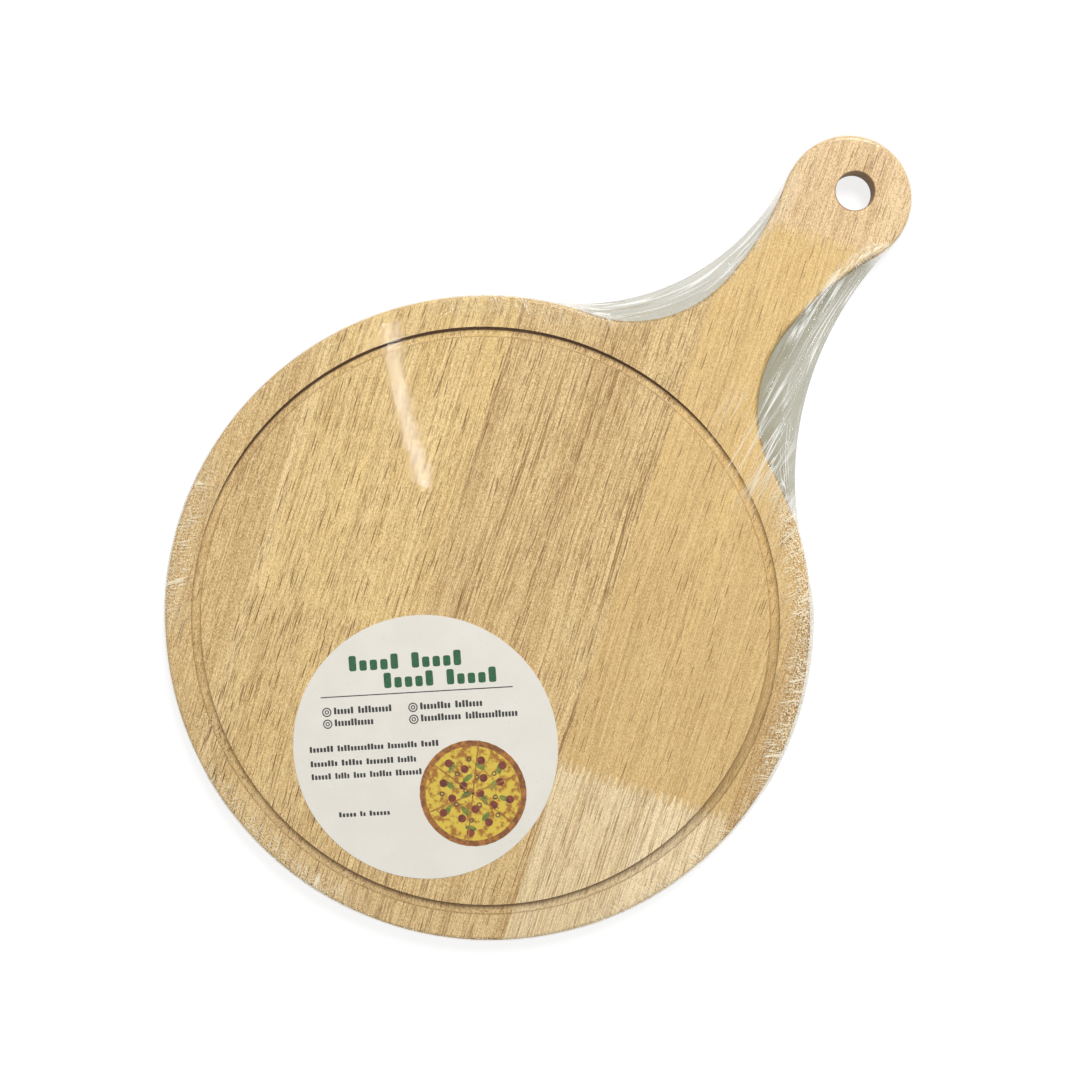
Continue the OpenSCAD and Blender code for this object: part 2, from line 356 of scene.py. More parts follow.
    def groove_shade(self, mix: Recipe, place: object) -> Socket:
        """Painted shade in the groove: a dark line on its outer wall on one side and on its inner wall on
        the other, where the walls face away from the light, and a weaker dark tint on both walls.

        Args:
            mix: The material under construction.
            place: The place in the part's frame.

        Returns:
            The share of the painted shade's colour.
        """
        middle = mix.turned(place, 0.0, (0, -self.groove_y, 0))
        parts = mix.parted(middle)
        flat = mix.joined(parts[0], parts[1])
        away = mix.add("ShaderNodeVectorMath", {0: flat}, operation="LENGTH").outputs["Value"]
        aim = (math.cos(self.groove_shade_turn), math.sin(self.groove_shade_turn), 0)
        toward = mix.add("ShaderNodeVectorMath", {0: flat, 1: aim}, operation="DOT_PRODUCT")
        off = mix.sums("SUBTRACT", away, self.groove_r)
        side = mix.sums("DIVIDE", toward.outputs["Value"], away)
        lean = mix.times(off, side)
        outer = mix.times(mix.sums("GREATER_THAN", off, 0.0), 0.3)
        dark = mix.times(mix.span(lean, 0.6 * MM, 1.3 * MM), mix.sums("ADD", outer, 0.68))
        wide = mix.sums("ABSOLUTE", off)
        dark = mix.most(dark, mix.span(wide, 1.6 * MM, 2.2 * MM, 0.0, 0.3))
        below = mix.span(side, -1.05, 0.35, 0.66, 0.0)
        dark = mix.most(dark, mix.times(mix.span(lean, -2.6 * MM, 2.0 * MM), below))
        inside = mix.times(dark, mix.sums("LESS_THAN", wide, 2.5 * MM))
        return mix.times(inside, mix.sums("LESS_THAN", parts[2], self.groove_top))


@dataclass(frozen=True)
class PaperFinish:
    """Smooth white label card with a trace of fibre and a few printing specks."""

    name: str = "label_card"
    white: Colour = paint(227, 223, 214)
    shade: Colour = paint(223, 219, 209)

    def material(self) -> bpy.types.Material:
        """Builds the card's material."""
        mix = Recipe(self.name)
        place = mix.place()
        fibre = mix.cloud(place, scale=900, detail=3)
        mottle = mix.cloud(place, scale=60, detail=2)
        colour = mix.blend(mix.span(mottle, 0.3, 0.7), self.white, self.shade)
        speck = mix.add("ShaderNodeTexVoronoi", {"Vector": place, "Scale": 330.0}).outputs["Distance"]
        colour = mix.blend(mix.span(speck, 0.05, 0.09, 0.35, 0.0), colour, paint(120, 116, 108))
        inputs = {
            "Base Color": colour,
            "Roughness": mix.span(fibre, 0.3, 0.7, 0.38, 0.5),
            "Normal": mix.bump(fibre, 0.12, 0.03 * MM),
        }
        return mix.finish(mix.add("ShaderNodeBsdfPrincipled", inputs).outputs[0])


@dataclass(frozen=True)
class InkFinish:
    """Printing ink with a slight screen grain and uneven cover."""

    name: str
    full: Colour
    thin: Colour
    patch_scale: float = 700.0
    low: float = 0.35
    high: float = 0.7

    def material(self) -> bpy.types.Material:
        """Builds the ink's material."""
        mix = Recipe(self.name)
        cover = mix.cloud(mix.place(), scale=self.patch_scale, detail=4, rough=0.6)
        colour = mix.blend(mix.span(cover, self.low, self.high), self.full, self.thin)
        inputs = {
            "Base Color": colour,
            "Roughness": mix.span(cover, 0.2, 0.8, 0.34, 0.46),
            "Normal": mix.bump(cover, 0.1, 0.01 * MM),
        }
        return mix.finish(mix.add("ShaderNodeBsdfPrincipled", inputs).outputs[0])


@dataclass(frozen=True)
class FilmFinish:
    """Clear shrink film: a glossy skin with creases, hanging free and crumpled in places. Where it hangs
    free it is tinted grey, partly its own haze and partly a painted shadow of the board on the floor
    below; its creases and crinkles carry milky lines that are partly the whitening of creased film and
    partly painted highlights.

    The scales of its noise are in waves per metre, along the axes of the turned place or of
    the bag's own ways: in from the weld, along it and up.
    """

    name: str = "shrink_film"
    clear: Colour = (0.985, 0.985, 0.98, 1.0)
    grain_turn: float = math.radians(22.802)
    # Tint of the free film: partly its haze and partly painted shadow of the floor below.
    haze_and_shade_tint: Colour = (0.65, 0.64, 0.56, 1.0)
    # Tint of the painted shade in the crinkles' hollows.
    crinkle_shade: Colour = (0.72, 0.66, 0.54, 1.0)
    cool: Colour = (0.93, 0.93, 0.9, 1.0)
    # Warm colour of the milky layer over the wood: a painted reflection of the wood's light.
    warm: Colour = (0.98, 0.89, 0.66, 1.0)
    turn: float = math.radians(12.6)
    mirror: float = 0.016
    mirror_at_edge: float = 0.6

    def ridge(self, mix: Recipe, vector: object, low: float, high: float) -> Socket:
        """Thin wandering lines: 1 on a line and 0 beside it."""
        level = mix.cloud(vector, detail=1.5, rough=0.5)
        off = mix.sums("ABSOLUTE", mix.sums("SUBTRACT", level, 0.5))
        return mix.span(off, low, high, 1, 0)

    def material(self) -> bpy.types.Material:
        """Builds the film's material."""
        mix = Recipe(self.name)
        place = mix.place()
        marks = {}
        for name in FILM_MARKS:
            marks[name] = mix.add("ShaderNodeAttribute", attribute_name=name).outputs["Fac"]

        rise = mix.parted(place)[2]
        hem = mix.joined(marks["way"], marks["along"], rise)
        lean = mix.sums("ADD", marks["along"], mix.times(marks["way"], 0.4))
        rim = mix.joined(lean, marks["way"], rise)

        pulled = mix.turned(place, -self.turn)
        streak = self.ridge(mix, mix.scaled(pulled, (240, 6, 50)), 0.012, 0.036)
        second = self.ridge(mix, mix.scaled(mix.turned(pulled, 0.07), (430, 8, 70)), 0.016, 0.05)
        streak = mix.most(streak, mix.times(second, 0.7))
        broken = mix.cloud(mix.scaled(pulled, (300, 15, 40)), detail=2)
        streak = mix.times(streak, mix.span(broken, 0.42, 0.58))
        streak = mix.times(streak, marks["web"])
        seam = self.ridge(mix, mix.scaled(hem, (430, 13, 200)), 0.014, 0.05)
        broken = mix.cloud(mix.scaled(hem, (280, 26, 200)), detail=2)
        seam = mix.times(seam, mix.span(broken, 0.42, 0.56))
        streak = mix.most(streak, mix.times(seam, marks["hem"]))

        gather = self.ridge(mix, mix.scaled(rim, (560, 60, 90)), 0.012, 0.04)
        sparse = mix.cloud(mix.scaled(rim, (200, 90, 90)), detail=2)
        gather = mix.times(gather, mix.span(sparse, 0.45, 0.57, 0.0, 0.85))
        gather = mix.times(gather, mix.span(marks["pucker"], 0.0, 0.6))
        rough = mix.cloud(place, scale=1500, detail=2, rough=0.65)
        bright = mix.times(mix.span(rough, 0.48, 0.6, 0.0, 0.85), marks["pucker"])
        crinkle = mix.most(gather, bright)
        # Painted shade: dark specks in the crinkles' hollows dim the film's see-through.
        crinkle_shade = mix.times(mix.span(rough, 0.36, 0.48, 0.8, 0.0), marks["pucker"])

        crumple = mix.cloud(mix.scaled(hem, (1000, 130, 300)), detail=3, rough=0.65)
        crumple = mix.times(mix.span(crumple, 0.4, 0.6, 0.1, 0.9), marks["band"])
        crease = mix.most(streak, crumple)
        weld = mix.times(mix.span(marks["weld"], 0.35, 0.9), 0.3)
        # Painted highlights: the milky share on streaks, creases, crumples and crinkles stands partly for
        # the whitening of creased film and partly for glints of light on them; the weld's milky seam is
        # the film's own.
        white = mix.times(mix.most(crease, crinkle), 0.92)
        white = mix.most(white, weld)

        wave = mix.cloud(place, scale=38, detail=2)
        fine = mix.cloud(mix.scaled(mix.turned(place, -self.grain_turn), (1900, 500, 1900)), detail=2)
        height = mix.sums("ADD", mix.times(crease, 0.5), mix.times(crinkle, 0.2))
        height = mix.sums("ADD", height, mix.times(wave, 0.2))
        height = mix.sums("ADD", height, mix.times(fine, 0.016))
        normal = mix.bump(height, 0.6, 0.3 * MM)

        # The free film's tint is partly its haze and partly a painted shadow of the board on the floor
        # below.
        tint = mix.blend(marks["haze_and_shade"], self.clear, self.haze_and_shade_tint)
        tint = mix.blend(crinkle_shade, tint, self.crinkle_shade)
        see = mix.add("ShaderNodeBsdfTransparent", {"Color": tint}).outputs[0]
        dull = mix.span(marks["pucker"], 0.1, 1.0, 0.045, 0.4)
        inputs = {"Color": WHITE, "Roughness": dull, "Normal": normal}
        gloss = mix.add("ShaderNodeBsdfGlossy", inputs).outputs[0]
        facing = mix.add("ShaderNodeLayerWeight", {"Blend": 0.5, "Normal": normal}).outputs["Facing"]
        steep = mix.times(mix.sums("POWER", facing, 5.0), self.mirror_at_edge)
        bounce = mix.sums("ADD", steep, self.mirror)
        skin = mix.layers(bounce, see, gloss)
        # The milky layer is warm over the wood, a painted reflection of the wood's light, and cool on the
        # free film.
        hue = mix.blend(mix.span(marks["haze_and_shade"], 0.0, 0.3), self.warm, self.cool)
        milk_and_glint = mix.add("ShaderNodeBsdfDiffuse", {"Color": hue, "Normal": normal}).outputs[0]
        return mix.finish(mix.layers(white, skin, milk_and_glint))


class Wood(Enum):
    """Finish of each stave."""

    LEFT = WoodFinish(
        "wood_left", paint(220, 191, 135), paint(207, 176, 122), 16 * MM, 0.7, 0.2, 0.22, 0.7, 1.3,
    )
    FLECKED = WoodFinish(
        "wood_flecked", paint(237, 209, 148), paint(220, 189, 125), 10 * MM, 0.7, 0.35, 0.45, 0.9,
        patch=paint(232, 203, 136), patch_share=0.6, shift=(0.31, 0.17, 0.02), strip_x=-107.6 * MM,
    )
    FLECKED_LOW = WoodFinish(
        "wood_flecked_lower", paint(228, 200, 144), paint(211, 179, 122), 10 * MM, 0.7, 0.35, 0.5, 1.0,
        patch=paint(222, 192, 126), patch_share=0.5, shift=(0.71, 0.45, 0.05), strip_x=-107.6 * MM,
    )
    LINED = WoodFinish(
        "wood_lined", paint(226, 198, 144), paint(200, 169, 117), 9 * MM, 0.8, 0.75, 0.5, 0.75,
        patch=paint(222, 192, 132), patch_share=0.3, shift=(0.05, 0.61, 0.03),
    )
    PINK = WoodFinish(
        "wood_pink", paint(236, 208, 166), paint(222, 190, 150), 12 * MM, 0.6, 0.25, 0.3, 0.7,
        shift=(0.83, 0.27, 0.04), hole_y=258 * MM,
    )
    YELLOW = WoodFinish(
        "wood_yellow", paint(225, 193, 130), paint(210, 178, 119), 22 * MM, 0.8, 0.25, 0.22, 0.7, 0.8,
        shift=(0.44, 0.92, 0.06),
    )
    PALE = WoodFinish(
        "wood_pale", paint(249, 231, 193), paint(228, 207, 162), 14 * MM, 0.7, 0.5, 0.35, 0.6, 0.95,
        shift=(0.13, 0.36, 0.01),
    )
    RIGHT = WoodFinish(
        "wood_right", paint(203, 166, 106), paint(188, 151, 95), 9 * MM, 0.8, 0.5, 0.3, 0.7,
        shift=(0.57, 0.74, 0.02),
    )


@dataclass
class Board:
    """The eight staves of the board, dressed in their woods."""

    woods: dict[str, Wood] = field(default_factory=lambda: {
        "stave_1": Wood.LEFT,
        "stave_2_upper": Wood.FLECKED,
        "stave_2_lower": Wood.FLECKED_LOW,
        "stave_3": Wood.LINED,
        "stave_4_handle": Wood.PINK,
        "stave_4_middle": Wood.YELLOW,
        "stave_4_lower": Wood.PALE,
        "stave_5": Wood.RIGHT,
    })

    def dress(self) -> None:
        """Gives each stave its wood."""
        for node, wood in self.woods.items():
            dress_node(node, wood.value.material())
            LOG.info("stave %s dressed", node)


def dress_node(node: str, material: bpy.types.Material) -> None:
    """Puts one material on all of a CAD node.

    Args:
        node: The node's name.
        material: Its finish.
    """
    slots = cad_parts[node].data.materials
    if slots:
        for index in range(len(slots)):
            slots[index] = material
    else:
        slots.append(material)


def finished(name: str, mesh: Mesh, material: bpy.types.Material) -> bpy.types.Object:
    """Turns a bmesh into a piece that rides on the board.

    Args:
        name: The piece's name.
        mesh: Its shape, in the part's frame.
        material: Its finish.

    Returns:
        The new object.
    """
    data = bpy.data.meshes.new(name)
    mesh.to_mesh(data)
    mesh.free()
    data.materials.append(material)
    piece = linked(name, data)
    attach(piece, "root")
    LOG.info("piece %s: %d faces", name, len(data.polygons))
    return piece


@dataclass
class LabelPrint:
    """Ink on the label: greeked title, rule, bullets, text lines and a plain pizza.

    Places on the label are in millimetres from its centre, with x to the right of
    its print and y up.
    """

    centre: tuple[float, float] = (17.184 * MM, -62.546 * MM)
    turn: float = math.radians(44.4)
    ink_t: float = 0.012 * MM
    lift: float = 0.004 * MM
    pizza: tuple[float, float] = (20.9, -22.8)
    crust_r: float = 25.0
    cheese_r: float = 22.3

    def stamp(self, target: Mesh, shape: Mesh, x: float, y: float, level: int = 0) -> None:
        """Adds a shape made at the origin to an ink, at its place on the label.

        Args:
            target: The ink's mesh.
            shape: The shape, which is used up.
            x: Place to the right of the label's centre, in millimetres.
            y: Place above it.
            level: Number of inks that lie below this one.
        """
        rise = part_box("label")[1].z + self.lift + level * (self.ink_t + self.lift) + self.ink_t / 2
        place = Matrix.Translation((*self.centre, rise)) @ Matrix.Rotation(self.turn, 4, "Z")
        place = place @ Matrix.Translation((x * MM, y * MM, 0))
        bmesh.ops.transform(shape, matrix=place, verts=shape.verts)
        data = bpy.data.meshes.new("stamp")
        shape.to_mesh(data)
        shape.free()
        target.from_mesh(data)
        bpy.data.meshes.remove(data)

    def bar(self, wide: float, high: float) -> Mesh:
        """A flat bar with rounded corners."""
        shape = bmesh.new()
        made = bmesh.ops.create_cube(shape, size=1.0)["verts"]
        size = Matrix.Diagonal((wide * MM, high * MM, self.ink_t, 1))
        bmesh.ops.transform(shape, matrix=size, verts=made)
        upright = [e for e in shape.edges if abs(e.verts[0].co.z - e.verts[1].co.z) > self.ink_t / 2]
        bmesh.ops.bevel(
            shape, geom=upright, offset=min(wide, high) * 0.28 * MM, offset_type="OFFSET", segments=3,
            profile=0.5, material=-1, affect="EDGES",
        )
        return shape

    def spot(self, radius: float, squeeze: float = 1.0, turn: float = 0.0) -> Mesh:
        """A flat round or oval spot."""
        shape = bmesh.new()
        made = bmesh.ops.create_cone(
            shape, cap_ends=True, segments=36, radius1=radius * MM, radius2=radius * MM, depth=self.ink_t,
        )["verts"]
        squash = Matrix.Rotation(turn, 4, "Z") @ Matrix.Diagonal((1, squeeze, 1, 1))
        bmesh.ops.transform(shape, matrix=squash, verts=made)
        return shape

    def ring(self, radius: float, wide: float) -> Mesh:
        """A flat ring of the given outer radius and width."""
        shape = bmesh.new()
        half = self.ink_t / 2
        corners = [(radius, -half), (radius, half), (radius - wide, half), (radius - wide, -half)]
        start = [shape.verts.new((r * MM, 0, z)) for r, z in corners]
        edges = [shape.edges.new((start[i], start[(i + 1) % 4])) for i in range(4)]
        bmesh.ops.spin(
            shape, geom=start + edges, cent=(0, 0, 0), axis=(0, 0, 1), angle=math.tau, steps=32,
            use_merge=True,
        )
        bmesh.ops.recalc_face_normals(shape, faces=shape.faces)
        return shape

    def title(
        self, mesh: Mesh, x: float, y: float, words: tuple[int, ...], pitch: float, high: float
    ) -> None:
        """Adds a line of greeked capitals and small letters, one block for each.

        Args:
            mesh: The ink's mesh.
            x: Centre of the line.
            y: Foot of its letters.
            words: Number of letters in each word.
            pitch: Step from letter to letter.
            high: Height of a capital.
        """
        total = (sum(words) + len(words) - 1) * pitch
        place = x - total / 2 + pitch / 2
        for count in words:
            for letter in range(count):
                tall = high if letter == 0 or (letter * 3 + count) % 4 == 1 else high * 0.68
                self.stamp(mesh, self.bar(pitch * 0.7, tall), place, y + tall / 2)
                place += pitch
            place += pitch

    def line(self, mesh: Mesh, left: float, y: float, words: tuple, high: float) -> None:
        """Adds a line of greeked small text, one block for each letter.

        Args:
            mesh: The ink's mesh.
            left: Start of the line.
            y: Middle of its letters.
            words: Width of each word.
            high: Height of a small letter.
        """
        place = left
        for number, wide in enumerate(words):
            letters = max(2, round(wide / 1.55))
            pitch = wide / letters
            for letter in range(letters):
                tall = high * (1.35 if letter == 0 or (letter * 5 + number) % 7 in (2, 4) else 1.0)
                block = self.bar(pitch * 0.7, tall)
                self.stamp(mesh, block, place + pitch * (letter + 0.35), y + (tall - high) / 2)
            place += wide + high * 0.8

    def bullet(self, mesh: Mesh, x: float, y: float) -> None:
        """Adds a double ring."""
        self.stamp(mesh, self.ring(2.2, 0.55), x, y)
        self.stamp(mesh, self.ring(1.05, 0.5), x, y)

    def spread(self, count: int, reach: float, start: int = 0) -> list[tuple[float, float, float]]:
        """Spreads toppings over the pizza along a sunflower spiral.

        Args:
            count: Number of places over the whole pizza.
            reach: Radius that they fill.
            start: Turns the spiral on by so many steps.

        Returns:
            The places with a turn for each.
        """
        golden = math.pi * (3 - math.sqrt(5))
        places = []
        for index in range(count):
            away = reach * math.sqrt((index + 0.5) / count)
            angle = (index + start) * golden
            x = self.pizza[0] + away * math.cos(angle)
            y = self.pizza[1] + away * math.sin(angle)
            places.append((x, y, angle * 2))
        return places

    def build(self) -> None:
        """Dresses the label and lays its inks on it."""
        dress_node("label", PaperFinish().material())
        green = bmesh.new()
        self.title(green, -6.6, 37.6, (5, 5), 4.9, 7.2)
        self.title(green, 9.2, 28.8, (5, 5), 4.9, 7.2)
        self.printed("title", green, paint(6, 72, 36), paint(24, 94, 52), 700)

        black = bmesh.new()
        self.stamp(black, self.bar(90.0, 0.5), -2.2, 26.1)
        for x, y, words in (
            (-44.8, 19.1, (9.5, 16.0)), (-44.8, 13.5, (18.5,)),
            (-4.3, 19.1, (14.5, 13.0)), (-4.3, 13.5, (19.0, 24.5)),
        ):
            self.bullet(black, x, y)
            self.line(black, x + 3.4, y, words, 2.4)
        for y, words in (
            (1.5, (11.5, 22.0, 14.0, 8.5)), (-5.3, (13.0, 10.0, 13.0, 9.0)),
            (-11.4, (9.5, 7.0, 6.0, 10.5, 12.5)),
        ):
            self.line(black, -54.2, y, words, 2.1)
        self.line(black, -42.6, -29.8, (8.5, 3.0, 10.0), 1.8)
        self.printed("text", black, paint(18, 18, 20), paint(46, 46, 46), 700)
        self.picture()

    def picture(self) -> None:
        """Lays on the pizza: crust, cheese, leaves, tomato slices, olive rings and cuts."""
        x, y = self.pizza
        crust = bmesh.new()
        self.stamp(crust, self.spot(self.crust_r), x, y)
        self.printed("crust", crust, paint(112, 62, 20), paint(176, 116, 48), 420)
        cheese = bmesh.new()
        self.stamp(cheese, self.spot(self.cheese_r), x, y, 1)
        self.printed("cheese", cheese, paint(212, 184, 66), paint(156, 102, 30), 330, 0.45, 0.62)
        leaf = bmesh.new()
        for px, py, turn in self.spread(13, 17.5, 4):
            self.stamp(leaf, self.spot(2.7, 0.45, turn), px, py, 2)
        self.printed("leaves", leaf, paint(84, 104, 30), paint(136, 144, 56), 500)
        tomato = bmesh.new()
        for px, py, _ in self.spread(17, 19.5):
            self.stamp(tomato, self.spot(1.9), px, py, 3)
        self.printed("tomato", tomato, paint(84, 24, 12), paint(132, 56, 30), 500)
        olive = bmesh.new()
        for px, py, _ in self.spread(11, 16.5, 9):
            self.stamp(olive, self.ring(1.15, 0.5), px, py, 4)
        self.printed("olives", olive, paint(36, 28, 22), paint(74, 62, 44), 500)
        cut = bmesh.new()
        for number in range(3):
            shape = self.bar(2 * self.crust_r * 0.985, 0.55)
            turn = Matrix.Rotation(number * math.pi / 3 + 0.35, 4, "Z")
            bmesh.ops.transform(shape, matrix=turn, verts=shape.verts)
            self.stamp(cut, shape, x, y, 5)
        self.printed("cuts", cut, paint(132, 78, 26), paint(176, 122, 52), 500)

    def printed(
        self, part: str, mesh: Mesh, full: Colour, thin: Colour, scale: float,
        low: float = 0.35, high: float = 0.7,
    ) -> None:
        """Finishes one ink and lays it on the board.

        Args:
            part: What the ink shows.
            mesh: Its shape.
            full: Its colour at full cover.
            thin: Its colour where the cover is thin.
            scale: Scale of the uneven cover.
            low: Cover level where the thin colour starts.
            high: Cover level where it is reached.
        """
        ink = InkFinish(f"ink_{part}", full, thin, scale, low, high)
        finished(f"print_{part}", mesh, ink.material())


@dataclass(frozen=True)
class Arc:
    """A stretch of an outline: part of a circle from one direction to another."""

    centre: tuple[float, float]
    radius: float
    start: float
    end: float

    def point(self, share: float) -> Vector:
        """The point at a share of the way along."""
        angle = self.start + (self.end - self.start) * share
        return Vector(self.centre) + self.radius * Vector((math.cos(angle), math.sin(angle)))

    def length(self) -> float:
        """The stretch's length."""
        return self.radius * abs(self.end - self.start)


@dataclass
class Station:
    """A line across the bag, from its weld to the middle of the board."""

    weld: Vector
    middle: Vector
    along: float
    wood: float = 0.0
    span: float = 0.0


@dataclass
class Spot:
    """A point of the bag with what its finish needs to know, each mark from 0 to 1.

    Its ways along the weld and in from it are lengths.
    """

    place: Vector
    along: float = 0.0
    way: float = 0.0
    web: float = 0.0
    hem: float = 0.0
    pucker: float = 0.0
    haze_and_shade: float = 0.0
    band: float = 0.0
    weld: float = 0.0


@dataclass
class FilmBag:
    """The shrink film: two layers welded along their outline, drawn over the board.

    The marks say where the slack rises and falls, in degrees round the disc, and where
    the pull on the wood, the crumpled band and its bulge do, in millimetres up the handle.
    """

    disc_r: float = 150.0 * MM
    tip_r: float = 28.5 * MM
    tip_y: float = 253.0 * MM
    neck_r: float = 18.0 * MM
    neck_y: float = 193.0 * MM
    neck_low_r: float = 57.25 * MM
    neck_high_r: float = 149.88 * MM
    edge_r: float = 2.0 * MM
    wood_low: float = 0.35 * MM
    wood_high: float = 12.35 * MM
    cover: float = 0.6 * MM
    cover_below: float = 0.3 * MM
    seam_z: float = 6.5 * MM
    left_web_r: float = 104.3 * MM
    right_web_r: float = 148.8 * MM
    loose: float = 1.5 * MM
    hole_y: float = 258.0 * MM
    hole_r: float = 10.5 * MM
    spacing: float = 1.9 * MM
    neck_share: float = 0.8
    slack_at: Marks = (-30, 15, 42, 53)
    pull_at: Marks = (85, 110, 145, 165)
    band_at: Marks = (184, 194, 247, 251)
    bulge_at: Marks = (208, 232, 240, 251)
    streak_turn: float = math.radians(12.6)
    slope_rows: int = 14
    bend_rows: int = 5
    flat_rows: int = 14
    stations: list[Station] = field(default_factory=list)

    def web_centre(self, radius: float) -> Vector:
        """Centre of the free edge that touches the wrapped disc and the wrapped round end.

        Args:
            radius: The free edge's radius.

        Returns:
            The centre, right of the handle.
        """
        from_disc = self.disc_r + self.cover + radius
        from_tip = self.tip_r + self.cover + radius
        level = (from_disc ** 2 - from_tip ** 2 + self.tip_y ** 2) / (2 * self.tip_y)
        return Vector((math.sqrt(from_disc ** 2 - level ** 2), level))

    def outline(self) -> list[Arc]:
        """The weld's outline as five arcs, anticlockwise from the foot of the disc."""
        big, small = self.disc_r + self.cover, self.tip_r + self.cover
        right = self.web_centre(self.right_web_r)
        left = self.web_centre(self.left_web_r)
        left.x = -left.x
        tip = Vector((0, self.tip_y))

        def turn(vector: Vector) -> float:
            """Direction of a vector."""
            return math.atan2(vector.y, vector.x)

        return [
            Arc((0, 0), big, -math.pi / 2, turn(right)),
            Arc(tuple(right), self.right_web_r, turn(-right) % math.tau, turn(tip - right) % math.tau),
            Arc(tuple(tip), small, turn(right - tip), turn(left - tip) % math.tau),
            Arc(tuple(left), self.left_web_r, turn(tip - left), turn(-left)),
            Arc((0, 0), big, turn(left), 1.5 * math.pi),
        ]

    def half_width(self, y: float) -> float:
        """Half the wood's width at a height along the handle."""
        widths = [0.0]
        if abs(y) < self.disc_r:
            widths.append(math.sqrt(self.disc_r ** 2 - y ** 2))
        if abs(y - self.tip_y) < self.tip_r:
            widths.append(math.sqrt(self.tip_r ** 2 - (y - self.tip_y) ** 2))
        for radius, away, side in (
            (self.neck_low_r, self.neck_y, -1), (self.neck_high_r, self.tip_y - self.neck_y, 1),
        ):
            rise = (y - self.neck_y) * side
            reach = away * radius / math.hypot(away, radius + self.neck_r)
            if 0 <= rise <= min(reach, radius):
                widths.append(self.neck_r + radius - math.sqrt(radius ** 2 - rise ** 2))
        return max(widths)

    def wood_away(self, weld: Vector, middle: Vector) -> float:
        """Distance from the weld to the wood's edge, along the line to the middle."""
        low, high = 0.0, (middle - weld).length
        for _ in range(30):
            half = (low + high) / 2
            point = weld + (middle - weld).normalized() * half
            if abs(point.x) < self.half_width(point.y):
                high = half
            else:
                low = half
        return low

    def lay_out(self) -> None:
        """Sets the stations round the weld."""
        right_disc, right_web, tip, left_web, left_disc = self.outline()
        centre = Vector((0, 0))
        foot_y = self.hole_y - self.hole_r
        lines: list[tuple[Vector, Vector]] = []

        count = round(right_disc.length() / self.spacing)
        for index in range(count):
            weld = right_disc.point(index / count)
            angle = math.degrees(math.atan2(weld.y, weld.x))
            slack = self.loose * window(angle, self.slack_at)
            lines.append((weld + weld.normalized() * slack, centre))
        necks = round(self.neck_share * left_web.length() / self.spacing)
        spine = [Vector((0, foot_y * (ease(i / necks, 0, 1) + i / necks) / 2)) for i in range(necks)]
        lines += [(right_web.point(self.neck_share * i / necks), spine[i]) for i in range(necks)]

        rest = 1 - self.neck_share
        over = [right_web.point(self.neck_share + rest * i / 10) for i in range(10)]
        count = round(tip.length() / self.spacing)
        over += [tip.point(i / count) for i in range(count)]
        over += [left_web.point(rest * i / 10) for i in range(11)]
        hole = Vector((0, self.hole_y))
        for index, weld in enumerate(over):
            angle = -math.pi / 2 + math.tau * index / (len(over) - 1)
            lines.append((weld, hole + self.hole_r * Vector((math.cos(angle), math.sin(angle)))))

        for i in range(necks - 1, -1, -1):
            lines.append((left_web.point(1 - self.neck_share * i / necks), spine[i]))
        count = round(left_disc.length() / self.spacing)
        lines += [(left_disc.point(i / count), centre) for i in range(1, count)]

        along = 0.0
        for index, (weld, middle) in enumerate(lines):
            along += (weld - lines[index - 1][0]).length if index else 0.0
            self.stations.append(
                Station(weld, middle, along, self.wood_away(weld, middle), (middle - weld).length)
            )

    def section(self, station: Station, row: int, side: int) -> tuple[Vector, Vector, float]:
        """A point of the bag's section at a station.

        Args:
            station: The line across the bag.
            row: Row from the weld, counted from 1.
            side: 1 above the weld and -1 below it.

        Returns:
            The point, its outward direction and the way to it from the weld.
        """
        cover = self.cover if side > 0 else self.cover_below
        radius = self.edge_r + cover
        corner = self.wood_high - self.edge_r if side > 0 else self.wood_low + self.edge_r
        across = station.wood + self.edge_r
        rise = (corner - self.seam_z) * side
        away = math.hypot(across, rise)
        tilt = math.atan2(rise, across) + math.asin(min(1.0, radius / away))
        slope = math.sqrt(max(0.0, away ** 2 - radius ** 2))
        if row <= self.slope_rows:
            way = slope * row / self.slope_rows
            inward, up, lean = way * math.cos(tilt), way * math.sin(tilt), tilt
        elif row <= self.slope_rows + self.bend_rows:
            lean = tilt * (1 - (row - self.slope_rows) / self.bend_rows)
            inward, up = across - radius * math.sin(lean), rise + radius * math.cos(lean)
            way = slope + radius * (tilt - lean)
        else:
            share = ((row - self.slope_rows - self.bend_rows) / self.flat_rows) ** 1.5
            inward, up, lean = across + (station.span - across) * share, rise + radius, 0.0
            way = slope + radius * tilt + inward - across
        inward_way = (station.middle - station.weld).normalized()
        flat = station.weld + inward_way * inward
        point = Vector((flat.x, flat.y, self.seam_z + up * side))
        out = -inward_way * math.sin(lean)
        return point, Vector((out.x, out.y, math.cos(lean) * side)), way

    def crinkle(self, angle: float) -> float:
        """How strongly the rim is puckered in a direction from the disc's centre, in degrees."""
        strength = 0.12
        for middle, width, peak in (
            (38, 38, 1.0), (-12, 30, 0.4), (206, 22, 0.7), (268, 26, 0.7), (120, 26, 0.4),
        ):
            off = abs((angle - middle + 180) % 360 - 180)
            strength = max(strength, peak * (1 - ease(off, width * 0.4, width)))
        return strength

